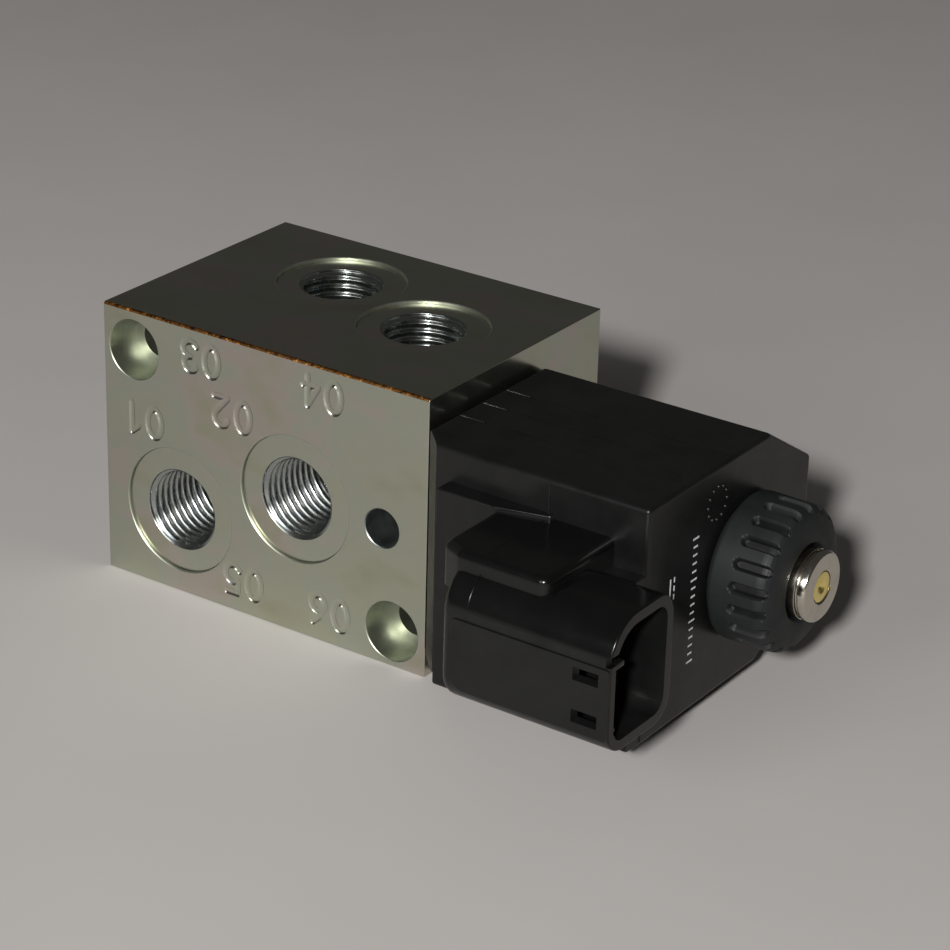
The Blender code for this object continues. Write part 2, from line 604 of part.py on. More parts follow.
def build_coil_nut():
    """Ribbed coil nut with a brass thread insert and an O-ring at its nose."""
    bore = STUD_RADIUS + 0.4
    pocket_x, pocket = 105.2, INSERT_RADIUS + GAP
    gland_left, gland_right, gland_radius = 105.7, 107.5, 7.15
    nut = turned("coil_nut", [
        (NUT_RIGHT_X, 6.6), (NUT_RIGHT_X - 0.4, 7.9), (NUT_RIGHT_X - 1.3, 9.5), (NUT_RIGHT_X - 2.4, 10.5),
        (NUT_RIGHT_X - 3.4, NUT_RADIUS), (NUT_LEFT_X + 0.4, NUT_RADIUS), (NUT_LEFT_X, NUT_RADIUS - 0.4),
        (NUT_LEFT_X, pocket), (pocket_x, pocket), (pocket_x, bore), (gland_left, bore),
        (gland_left, gland_radius), (gland_right, gland_radius), (gland_right, bore),
        (NUT_RIGHT_X, bore)], "black_nylon", 40)
    bm = bmesh.new()
    groove_radius, groove_left, groove_right = 0.75, NUT_LEFT_X + 3.6, NUT_RIGHT_X + 0.5
    for number in range(NUT_GROOVES):
        angle = 2 * math.pi * (number + 0.5) / NUT_GROOVES
        y = AXIS_Y + (NUT_RADIUS + 0.1) * math.cos(angle)
        z = AXIS_Z + (NUT_RADIUS + 0.1) * math.sin(angle)
        add_cylinder(bm, (groove_left, y, z), (groove_right, y, z), groove_radius, segments=8)
    cut(nut, add_object("grip_grooves", mesh_from(bm, "grip_grooves")))
    insert_left, insert_right, insert_bore = 100.2, 104.9, STUD_RADIUS + GAP
    turned("nut_insert", [(insert_right, INSERT_RADIUS), (insert_left, INSERT_RADIUS),
                          (insert_left, insert_bore), (insert_right, insert_bore)], "brass")
    o_ring("nut_seal", (gland_left + gland_right) / 2, 6.3, 0.6)


def build_coil_seals():
    o_ring("inner_coil_seal", 61.25, 9.1, 0.7)
    o_ring("outer_coil_seal", 98.5, 9.1, 0.6)


build_block()
build_end_plug()
build_spool()
build_spring()
build_tube()
build_coil_housing()
build_terminals()
build_winding()
build_coil_seals()
build_coil_nut()
for piece in VALVE.objects:
    if piece.type == "MESH":
        smooth(piece)
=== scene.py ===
import json
import math

import bmesh
import bpy
import numpy as np
from mathutils import Matrix, Vector


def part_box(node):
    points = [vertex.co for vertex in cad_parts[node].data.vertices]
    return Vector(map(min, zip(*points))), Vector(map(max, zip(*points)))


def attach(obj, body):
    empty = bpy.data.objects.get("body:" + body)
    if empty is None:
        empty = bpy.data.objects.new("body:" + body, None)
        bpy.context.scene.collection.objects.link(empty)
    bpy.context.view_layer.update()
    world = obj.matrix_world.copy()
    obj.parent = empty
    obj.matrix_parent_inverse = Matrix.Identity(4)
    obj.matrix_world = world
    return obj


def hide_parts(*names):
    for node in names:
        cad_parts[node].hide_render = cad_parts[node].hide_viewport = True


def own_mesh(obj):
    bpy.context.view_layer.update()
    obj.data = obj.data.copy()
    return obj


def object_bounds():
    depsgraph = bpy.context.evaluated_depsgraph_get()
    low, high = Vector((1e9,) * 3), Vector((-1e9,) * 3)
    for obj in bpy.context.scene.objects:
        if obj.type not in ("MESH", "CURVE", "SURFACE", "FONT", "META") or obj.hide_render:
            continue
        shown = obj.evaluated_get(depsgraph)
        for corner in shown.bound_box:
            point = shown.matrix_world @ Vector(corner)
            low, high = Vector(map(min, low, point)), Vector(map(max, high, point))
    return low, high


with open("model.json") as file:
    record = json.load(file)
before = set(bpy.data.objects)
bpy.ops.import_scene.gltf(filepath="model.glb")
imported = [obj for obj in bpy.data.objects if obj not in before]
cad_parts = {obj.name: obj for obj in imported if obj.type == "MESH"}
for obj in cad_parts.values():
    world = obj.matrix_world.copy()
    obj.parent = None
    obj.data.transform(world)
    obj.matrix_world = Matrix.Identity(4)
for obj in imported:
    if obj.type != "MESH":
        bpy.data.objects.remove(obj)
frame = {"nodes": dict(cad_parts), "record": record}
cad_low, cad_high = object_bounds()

# Millimetres, measured from the block's lower left front corner
MM = 0.001
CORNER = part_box("manifold_block")[0]
SCENE = bpy.context.scene


def at(x, y, z):
    return CORNER + Vector((x, y, z)) * MM


def millimetres(point):
    return (Vector(point) - CORNER) / MM


LENGTH, DEPTH, HEIGHT = millimetres(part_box("manifold_block")[1])
COIL_LOW, COIL_HIGH = (millimetres(p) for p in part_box("coil_housing"))
TUBE_LOW, TUBE_HIGH = (millimetres(p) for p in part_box("guide_tube"))
STUD_LOW, STUD_HIGH = (millimetres(p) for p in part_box("end_stop"))
PIN_LOW, PIN_HIGH = (millimetres(p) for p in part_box("override_pin"))
NUT_LOW, NUT_HIGH = (millimetres(p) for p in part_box("coil_nut"))
PLUG_LOW, PLUG_HIGH = (millimetres(p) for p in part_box("end_plug"))
AXIS_Y, AXIS_Z = (TUBE_LOW.y + TUBE_HIGH.y) / 2, (TUBE_LOW.z + TUBE_HIGH.z) / 2
OPENINGS = {o["name"]: [millimetres(p) for p in o["box_m"]] for o in frame["record"]["physics"]["openings"]}


# ---------------------------------------------------------------- materials

class Finish:
    """A procedural material: colour patches, roughness patches and fine relief in object coordinates."""

    def __init__(self, name, metallic=0.0, **sockets):
        self.material = bpy.data.materials.new(name)
        self.material.use_nodes = True
        self.tree = self.material.node_tree
        self.shader = next(n for n in self.tree.nodes if n.type == "BSDF_PRINCIPLED")
        self.shader.inputs["Metallic"].default_value = metallic
        for key, value in sockets.items():
            self.shader.inputs[key.replace("_", " ")].default_value = value
        self.place = self.tree.nodes.new("ShaderNodeTexCoord").outputs["Object"]
        self.height = None

    def noise(self, size_mm, detail=4.0, stretch=(1, 1, 1), rough=0.55, offset=0.0):
        mapping = self.tree.nodes.new("ShaderNodeMapping")
        mapping.inputs["Scale"].default_value = [1000.0 / size_mm / s for s in stretch]
        mapping.inputs["Location"].default_value = (offset, offset * 2, offset * 3)
        self.tree.links.new(self.place, mapping.inputs["Vector"])
        noise = self.tree.nodes.new("ShaderNodeTexNoise")
        noise.inputs["Scale"].default_value = 1.0
        noise.inputs["Detail"].default_value = detail
        noise.inputs["Roughness"].default_value = rough
        self.tree.links.new(mapping.outputs["Vector"], noise.inputs["Vector"])
        return noise.outputs["Fac"]

    def colour(self, source, stops):
        """Blends (position, colour) stops over the source."""
        node = self.tree.nodes.new("ShaderNodeValToRGB")
        elements = node.color_ramp.elements
        while len(elements) < len(stops):
            elements.new(0.5)
        for element, (position, colour) in zip(elements, stops):
            element.position = position
            element.color = (*colour, 1.0)
        self.tree.links.new(source, node.inputs["Fac"])
        self.tree.links.new(node.outputs["Color"], self.shader.inputs["Base Color"])

    def roughness(self, source, low, high):
        node = self.tree.nodes.new("ShaderNodeMapRange")
        node.inputs["From Min"].default_value = 0.3
        node.inputs["From Max"].default_value = 0.7
        node.inputs["To Min"].default_value = low
        node.inputs["To Max"].default_value = high
        self.tree.links.new(source, node.inputs["Value"])
        self.tree.links.new(node.outputs["Result"], self.shader.inputs["Roughness"])

    def relief(self, source, depth_mm, strength=1.0):
        """Adds fine relief on top of any relief that is there already."""
        bump = self.tree.nodes.new("ShaderNodeBump")
        bump.inputs["Strength"].default_value = strength
        bump.inputs["Distance"].default_value = depth_mm * MM
        self.tree.links.new(source, bump.inputs["Height"])
        if self.height is not None:
            self.tree.links.new(self.height, bump.inputs["Normal"])
        self.height = bump.outputs["Normal"]
        self.tree.links.new(self.height, self.shader.inputs["Normal"])

    def rings(self, pitch_mm, axis):
        """Turning marks: fine rings round the object's own axis."""
        wave = self.tree.nodes.new("ShaderNodeTexWave")
        wave.wave_type = "RINGS"
        wave.rings_direction = axis
        wave.inputs["Scale"].default_value = 1000.0 / pitch_mm / 20.0
        wave.inputs["Distortion"].default_value = 1.5
        wave.inputs["Detail"].default_value = 2.0
        wave.inputs["Detail Scale"].default_value = 3.0
        self.tree.links.new(self.place, wave.inputs["Vector"])
        return wave.outputs["Fac"]


def zinc_plate():
    f = Finish("zinc_plate", metallic=1.0)
    patches = f.noise(11.0, 3.0, (1.6, 1.3, 1.0))
    f.colour(patches, [(0.30, (0.47, 0.47, 0.355)), (0.42, (0.52, 0.53, 0.425)), (0.52, (0.50, 0.53, 0.445)),
                       (0.60, (0.56, 0.515, 0.465)), (0.72, (0.485, 0.49, 0.36))])
    f.roughness(f.noise(6.0, 1.0, (3.0, 1.0, 1.0), offset=3.0), 0.22, 0.27)
    f.relief(f.noise(9.0, 0.0, offset=7.0), 0.002)
    return f.material


def zinc_bore():
    f = Finish("zinc_bore", metallic=1.0)
    f.colour(f.noise(5.0, 3.0), [(0.3, (0.35, 0.37, 0.305)), (0.55, (0.43, 0.45, 0.37)),
                                 (0.75, (0.34, 0.36, 0.30))])
    f.roughness(f.noise(2.5, 2.0, offset=2.0), 0.40, 0.48)
    f.relief(f.noise(0.8, 1.0, (1.0, 5.0, 1.0), offset=5.0), 0.0006)
    return f.material


def painted_shade_bore():
    f = Finish("painted_shade_bore", metallic=1.0)
    # a dark grey for the locating hole's lining: painted shade deep in the hole
    f.colour(f.noise(2.0, 3.0), [(0.3, (0.20, 0.22, 0.21)), (0.6, (0.30, 0.33, 0.32))])
    f.roughness(f.noise(1.5, 2.0, offset=2.0), 0.34, 0.44)
    f.relief(f.noise(0.5, 1.0, (1.0, 5.0, 1.0), offset=5.0), 0.001)
    return f.material


def zinc_thread():
    f = Finish("zinc_thread", metallic=1.0)
    f.colour(f.noise(2.5, 4.0), [(0.3, (0.27, 0.28, 0.26)), (0.5, (0.36, 0.38, 0.365)),
                                 (0.72, (0.29, 0.32, 0.335))])
    f.roughness(f.noise(0.8, 2.0, offset=2.0), 0.20, 0.28)
    return f.material


def painted_edge_glints():
    f = Finish("painted_edge_glints", metallic=1.0)
    # dark brown with bright orange spots: painted glints of a warm lamp, for the block's top front edge
    f.colour(f.noise(1.1, 6.0, rough=0.7), [(0.40, (0.05, 0.03, 0.016)), (0.48, (0.42, 0.17, 0.04)),
                                             (0.54, (0.10, 0.05, 0.02)), (0.64, (0.95, 0.45, 0.12))])
    f.roughness(f.noise(0.5, 5.0, offset=2.0), 0.25, 0.6)
    f.relief(f.noise(0.5, 4.0, offset=5.0), 0.03)
    return f.material


def turned_metal(name, light, dark, low, high, pitch=0.3, axis="X"):
    f = Finish(name, metallic=1.0)
    f.colour(f.noise(3.0, 4.0), [(0.3, dark), (0.55, light), (0.75, dark)])
    f.roughness(f.noise(1.0, 4.0, offset=2.0), low, high)
    f.relief(f.rings(pitch, axis), 0.0015)
    f.relief(f.noise(0.4, 3.0, offset=5.0), 0.002)
    return f.material


def moulding(name, light, dark, low, high, grain_mm=0.45, depth=0.006):
    f = Finish(name, Specular_IOR_Level=0.32)
    f.colour(f.noise(7.0, 4.0), [(0.3, dark), (0.6, light), (0.8, dark)])
    f.roughness(f.noise(2.6, 5.0, offset=2.0), low, high)
    f.relief(f.noise(grain_mm, 3.0, offset=5.0), depth)
    f.relief(f.noise(6.0, 2.0, offset=9.0), 0.05, 0.6)
    return f.material


def enamelled_wire():
    f = Finish("enamelled_copper", metallic=0.9)
    f.colour(f.noise(2.0, 4.0), [(0.3, (0.42, 0.13, 0.04)), (0.7, (0.66, 0.24, 0.09))])
    f.roughness(f.noise(0.8, 4.0, offset=2.0), 0.22, 0.4)
    f.relief(f.noise(0.35, 2.0, (0.6, 8.0, 8.0), offset=5.0), 0.03)
    return f.material


def ink():
    f = Finish("white_ink")
    f.colour(f.noise(0.5, 4.0), [(0.3, (0.55, 0.57, 0.58)), (0.7, (0.80, 0.82, 0.84))])
    f.roughness(f.noise(0.4, 3.0, offset=2.0), 0.45, 0.65)
    return f.material


ZINC, ZINC_BORE, ZINC_THREAD, EDGE_GLINTS = zinc_plate(), zinc_bore(), zinc_thread(), painted_edge_glints()
SHADE_BORE = painted_shade_bore()
STEEL = turned_metal("ground_steel", (0.62, 0.62, 0.61), (0.48, 0.48, 0.47), 0.22, 0.38)
NICKEL = turned_metal("nickel_plate", (0.63, 0.59, 0.51), (0.53, 0.49, 0.43), 0.12, 0.22)
BRASS = turned_metal("brass", (1.0, 0.84, 0.32), (0.96, 0.76, 0.24), 0.22, 0.34, 0.25)
COPPER = enamelled_wire()
BLACK = moulding("black_nylon", (0.0070, 0.0073, 0.0071), (0.0042, 0.0044, 0.0043), 0.27, 0.36)
# glossier nylon, coloured darker than the black nylon: painted shade for the connector's upward faces
GLOSS_AND_SHADE = moulding("polished_nylon_painted_shade", (0.0040, 0.0042, 0.0041), (0.0028, 0.003, 0.0029), 0.16, 0.22, 0.6, 0.003)
# darker than the nylon round it: painted shade for the floors of slots and windows
SHADED_RECESS = moulding("shaded_recess_nylon", (0.0036, 0.004, 0.0041), (0.0022, 0.0025, 0.0026), 0.52, 0.68, 0.5, 0.004)
KNOB = moulding("knob_nylon", (0.0100, 0.0115, 0.012), (0.006, 0.007, 0.0075), 0.52, 0.66, 0.35, 0.012)
NATURAL = moulding("natural_nylon", (0.62, 0.58, 0.47), (0.52, 0.48, 0.38), 0.42, 0.58)
RUBBER = moulding("rubber", (0.020, 0.020, 0.019), (0.013, 0.013, 0.013), 0.55, 0.75, 0.3, 0.01)
INK = ink()


# ------------------------------------------------------------------ meshes

def keep(obj, body, slot, *nodes):
    """Puts a piece on its body, in place of the named CAD nodes."""
    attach(obj, body)
    if nodes:
        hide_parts(*nodes)
    return obj


def add(name, mesh, *materials):
    obj = bpy.data.objects.new(name, mesh)
    SCENE.collection.objects.link(obj)
    for m in materials:
        obj.data.materials.append(m)
    return obj


def to_mesh(bm, name):
    bmesh.ops.recalc_face_normals(bm, faces=bm.faces)
    mesh = bpy.data.meshes.new(name)
    bm.to_mesh(mesh)
    bm.free()
    return mesh


def settle(obj):
    """Makes the object's modifiers part of its mesh."""
    mesh = bpy.data.meshes.new_from_object(obj.evaluated_get(bpy.context.evaluated_depsgraph_get()))
    obj.modifiers.clear()
    obj.data = mesh


def join(obj, other, operation):
    modifier = obj.modifiers.new("join", "BOOLEAN")
    modifier.object, modifier.operation, modifier.solver = other, operation, "EXACT"
    bpy.context.view_layer.update()
    settle(obj)
    bpy.data.objects.remove(other)


def cut(obj, other, index=0):
    for face in other.data.polygons:
        face.material_index = index
    join(obj, other, "DIFFERENCE")


def shade(obj, degrees):
    """Smooth shading, with sharp edges where faces meet at more than that angle."""
    bm = bmesh.new()
    bm.from_mesh(obj.data)
    for face in bm.faces:
        face.smooth = True
    for edge in bm.edges:
        if len(edge.link_faces) == 2:
            edge.smooth = edge.calc_face_angle(0.0) < math.radians(degrees)
    bm.to_mesh(obj.data)
    bm.free()
    weighted = obj.modifiers.new("weighted", "WEIGHTED_NORMAL")
    weighted.keep_sharp = True
    weighted.weight = 80


def shade_flats(obj, degrees, thick=1.6):
    """Smooth shading in which wide flat faces keep their own normals and rounded strips blend between them.

    A face is wide if twice its area is more than its perimeter times thick, in millimetres.
    """
    bm = bmesh.new()
    bm.from_mesh(obj.data)
    bm.faces.ensure_lookup_table()
    limit = math.radians(degrees)
    normals = {}
    wide = [2 * f.calc_area() / max(f.calc_perimeter(), 1e-12) > thick * MM for f in bm.faces]
    for face in bm.faces:
        face.smooth = True
    for edge in bm.edges:
        edge.smooth = len(edge.link_faces) == 2 and edge.calc_face_angle(0.0) < limit
    for vertex in bm.verts:
        left = {f.index for f in vertex.link_faces}
        while left:    # one group of faces at a time, joined round the vertex by smooth edges
            group, queue = [], [left.pop()]
            while queue:
                index = queue.pop()
                group.append(index)
                for edge in bm.faces[index].edges:
                    if edge.smooth and vertex in edge.verts:
                        for other in edge.link_faces:
                            if other.index in left:
                                left.remove(other.index)
                                queue.append(other.index)
            chosen = [i for i in group if wide[i]] or group
            total = Vector((0, 0, 0))
            for i in chosen:
                total += bm.faces[i].normal * (1.0 if wide[i] else bm.faces[i].calc_area() ** 0.5)
            total.normalize()
            for i in group:
                normals[(i, vertex.index)] = bm.faces[i].normal.copy() if wide[i] else total
    bm.to_mesh(obj.data)
    bm.free()
    mesh = obj.data
    mesh.normals_split_custom_set([normals[(face.index, mesh.loops[loop].vertex_index)][:]
                                   for face in mesh.polygons for loop in face.loop_indices])


def round_edges(bm, width, segments=3, least_degrees=20.0, only=None):
    edges = [e for e in bm.edges if e.calc_face_angle(0.0) > math.radians(least_degrees)
             and (only is None or only(e))]
    bmesh.ops.bevel(bm, geom=edges, offset=width * MM, segments=segments, profile=0.5, affect="EDGES",
                    clamp_overlap=True)


def box(low, high, bevel=0.0, segments=3):
    bm = bmesh.new()
    low, high = at(*low), at(*high)
    bmesh.ops.create_cube(bm, size=1.0)
    for v in bm.verts:
        v.co = Vector(low[i] + (v.co[i] + 0.5) * (high[i] - low[i]) for i in range(3))
    if bevel:
        round_edges(bm, bevel, segments)
    return bm


def prism(outline, axis, low, high, bevel=0.0, segments=3, least_degrees=40.0):
    """An outline in the two other axes (in order), extruded along an axis."""
    bm = bmesh.new()
    loops = []
    for level in (low, high):
        points = []
        for a, b in outline:
            coordinates = {"X": (level, a, b), "Y": (a, level, b), "Z": (a, b, level)}[axis]
            points.append(bm.verts.new(at(*coordinates)))
        loops.append(points)
    bm.faces.new(loops[0])
    bm.faces.new(loops[1])
    for i in range(len(outline)):
        j = (i + 1) % len(outline)
        bm.faces.new((loops[0][i], loops[0][j], loops[1][j], loops[1][i]))
    bmesh.ops.recalc_face_normals(bm, faces=bm.faces)
    if bevel:
        round_edges(bm, bevel, segments, least_degrees)
    return bm


def rounded(corners, radii, steps=8):
    """An outline's corners, each rounded to its own radius."""
    outline = []
    for i, corner in enumerate(corners):
        here = Vector(corner)
        before = (Vector(corners[i - 1]) - here).normalized()
        after = (Vector(corners[(i + 1) % len(corners)]) - here).normalized()
        if radii[i] <= 0:
            outline.append(tuple(here))
            continue
        half = before.angle(after) / 2
        centre = here + (before + after).normalized() * radii[i] / math.sin(half)
        first = here + before * radii[i] / math.tan(half) - centre
        last = here + after * radii[i] / math.tan(half) - centre
        sweep = first.angle_signed(last)
        for step in range(steps + 1):
            outline.append(tuple(centre + Matrix.Rotation(-sweep * step / steps, 2) @ first))
    return outline


def revolve(profile, frame_matrix, segments=96, radius_of=None):
    """A closed (height, radius) profile turned about the frame's Z axis. Radius zero makes a pole."""
    bm = bmesh.new()
    rings = []
    for k, (height, radius) in enumerate(profile):
        if radius <= 0:
            rings.append([bm.verts.new(frame_matrix @ Vector((0, 0, height * MM)))])
            continue
        ring = []
        for i in range(segments):
            angle = 2 * math.pi * i / segments
            r = radius_of(k, angle, height, radius) if radius_of else radius
            place = Vector((r * math.cos(angle), r * math.sin(angle), height)) * MM
            ring.append(bm.verts.new(frame_matrix @ place))
        rings.append(ring)
    for k in range(len(rings)):
        a, b = rings[k], rings[(k + 1) % len(rings)]
        if len(a) == 1 and len(b) == 1:
            continue
        for i in range(segments):
            j = (i + 1) % segments
            if len(a) == 1:
                bm.faces.new((a[0], b[i], b[j]))
            elif len(b) == 1:
                bm.faces.new((a[i], b[0], a[j]))
            else:
                bm.faces.new((a[i], b[i], b[j], a[j]))
    return bm


# Local Z along the valve's axis, with its origin at the block's left end
ALONG = Matrix.Translation(at(0, AXIS_Y, AXIS_Z)) @ Matrix(
    ((0, 0, 1, 0), (1, 0, 0, 0), (0, 1, 0, 0), (0, 0, 0, 1)))


def turned(name, profile, material, segments=96, radius_of=None):
    return add(name, to_mesh(revolve(profile, ALONG, segments, radius_of), name), material)


def drill(start, end, profile_radii, segments=48):
    """A cutter along a line: profile_radii is a list of (distance from the start, radius) in millimetres."""
    start, end = at(*start), at(*end)
    turn = (end - start).to_track_quat("Z", "Y").to_matrix().to_4x4()
    length = (end - start).length / MM
    profile = [(0.0, 0.0)] + [(min(h, length), r) for h, r in profile_radii] + [(length, 0.0)]
    return revolve(profile, Matrix.Translation(start) @ turn, segments)


# ---------------------------------------------------------------- numerals

def arc(cx, cy, rx, ry, start, end, steps=14):
    return [(cx + rx * math.cos(math.radians(start + (end - start) * i / steps)),
             cy + ry * math.sin(math.radians(start + (end - start) * i / steps))) for i in range(steps + 1)]


DIGITS = {
    "0": [arc(0.31, 0.5, 0.26, 0.45, 0, 360, 28)],
    "1": [[(0.13, 0.76), (0.36, 0.95), (0.36, 0.05)]],
    "2": [arc(0.31, 0.70, 0.25, 0.25, 165, -35) + [(0.07, 0.05), (0.57, 0.05)]],
    "3": [arc(0.28, 0.73, 0.23, 0.22, 150, -90), arc(0.28, 0.28, 0.27, 0.23, 90, -150)],
    "4": [[(0.42, 0.05), (0.42, 0.95), (0.05, 0.34), (0.58, 0.34)]],
    "5": [[(0.53, 0.95), (0.12, 0.95), (0.09, 0.56)] + arc(0.28, 0.33, 0.28, 0.28, 125, -150)],
    "6": [[(0.50, 0.95), (0.27, 0.74), (0.10, 0.46)] + arc(0.31, 0.31, 0.25, 0.26, 165, -195, 22)],
}


def stroke_distance(px, py, text, height, pitch):
    """Distance from each point to the nearest stroke of the text, which is centred on the origin."""
    best = np.full(px.shape, 1e9)
    width = 0.62 * height
    total = width + pitch * (len(text) - 1)
    for n, character in enumerate(text):
        for line in DIGITS[character]:
            pts = [(x * height - total / 2 + n * pitch, (y - 0.5) * height) for x, y in line]
            for (ax, ay), (bx, by) in zip(pts, pts[1:]):
                dx, dy = bx - ax, by - ay
                t = np.clip(((px - ax) * dx + (py - ay) * dy) / (dx * dx + dy * dy + 1e-12), 0, 1)
                best = np.minimum(best, np.hypot(px - ax - t * dx, py - ay - t * dy))
    return best


def numeral_tool(bm, centre_x, centre_z, text):
    """A stamping die in front of the block's face, with the digits upside down."""
    height, pitch, step = 5.1, 4.15, 0.11
    us = np.arange(-4.5, 4.5 + step / 2, step)
    vs = np.arange(-3.3, 3.3 + step / 2, step)
    gu, gv = np.meshgrid(us, vs, indexing="ij")
    d = stroke_distance(gu, gv, text, height, pitch)
    t = np.clip((0.74 - d) / 0.56, 0, 1)
    depth = -0.03 + 0.23 * t * t * (3 - 2 * t)
    grid = [[bm.verts.new(at(centre_x - gu[i, j], depth[i, j], centre_z - gv[i, j])) for j in range(len(vs))]
            for i in range(len(us))]
    n, m = len(us), len(vs)
    for i in range(n - 1):
        for j in range(m - 1):
            bm.faces.new((grid[i][j], grid[i + 1][j], grid[i + 1][j + 1], grid[i][j + 1]))
    border = ([grid[i][0] for i in range(n)] + [grid[n - 1][j] for j in range(1, m)]
              + [grid[i][m - 1] for i in range(n - 2, -1, -1)] + [grid[0][j] for j in range(m - 2, 0, -1)])
    back = [bm.verts.new(v.co + Vector((0, -1.0 * MM, 0))) for v in border]
    for i in range(len(border)):
        j = (i + 1) % len(border)
        bm.faces.new((border[i], border[j], back[j], back[i]))
    bm.faces.new(back)


# --------------------------------------------------------------- the ports

FACES = {  # outward direction of each port's face
    "port_c3": Vector((0, -1, 0)), "port_c2": Vector((0, -1, 0)),
    "port_p2": Vector((0, 0, 1)), "port_p1": Vector((0, 0, 1)),
    "port_c4": Vector((0, 0, -1)), "port_c1": Vector((0, 0, -1)),
}


def port_centre(name):
    low, high = OPENINGS[name]
    centre = (low + high) / 2
    out = FACES[name]
    if out.y:
        centre.y = 0.0
    else:
        centre.z = HEIGHT if out.z > 0 else 0.0
    return centre


PORT_CENTRES = {name: port_centre(name) for name in FACES}
SPOT_RADIUS, SPOT_DEPTH, INSERT_DEPTH, INSERT_RADIUS = 10.0, 0.5, 14.6, 7.3
PITCH, MINOR, MAJOR = 1.337, 5.75, 6.58


def thread_profile():
    """(depth, radius) round a port's lining, and which rows carry the thread."""
    rows = [(0.95, SPOT_RADIUS - 0.02), (SPOT_DEPTH + 0.06, SPOT_RADIUS - 0.02),
            (SPOT_DEPTH, SPOT_RADIUS - 0.10), (SPOT_DEPTH, 6.56), (SPOT_DEPTH + 0.03, 6.50),
            (SPOT_DEPTH + 0.17, 6.34)]
    first, last, per_pitch = SPOT_DEPTH + 0.22, 12.9, 13
    count = int((last - first) / PITCH * per_pitch)
    start = len(rows)
    rows += [(first + (last - first) * i / count, MAJOR) for i in range(count + 1)]
    end = len(rows)
    rows += [(last + 0.15, MINOR), (last + 0.35, MINOR), (INSERT_DEPTH - 0.35, 3.3),
             (INSERT_DEPTH - 0.30, 3.05), (INSERT_DEPTH - 0.02, 3.05),
             (INSERT_DEPTH - 0.02, INSERT_RADIUS - 0.03), (0.95, INSERT_RADIUS - 0.03)]
    return rows, start, end


def port_lining(name):
    rows, start, end = thread_profile()
    z = FACES[name]
    x = Vector((1, 0, 0))
    y = z.cross(x)
    local = Matrix((x, y, z)).transposed().to_4x4()
    first, last = rows[start][0], rows[end - 1][0]

    def radius_of(k, angle, height, radius):
        if not start <= k < end:
            return radius
        depth = -height
        phase = (height / PITCH - angle / (2 * math.pi)) % 1.0
        tooth = 0.5 - 0.5 * math.cos(2 * math.pi * phase)
        fade = max(0.0, min(1.0, (depth - first) / 0.5 + 0.25, (last - depth) / 1.2 + 0.05))
        # the share of a tooth's height at which the thread runs out, at either end
        plain = 0.35 if depth < (first + last) / 2 else 1.0
        return MAJOR - (MAJOR - MINOR) * (tooth * fade + plain * (1 - fade))

    bm = revolve([(-d, r) for d, r in rows], local, 96, radius_of)
    obj = add(name + "_lining", to_mesh(bm, name + "_lining"), ZINC_THREAD, ZINC)
    for face in obj.data.polygons:
        if (face.center * 1000).dot(z) > -SPOT_DEPTH - 0.02:
            face.material_index = 1
    obj.location = at(*PORT_CENTRES[name])
    bpy.context.view_layer.update()
    shade(obj, 80)
    return keep(obj, "valve_body", "zinc_steel")


# --------------------------------------------------------------- the block

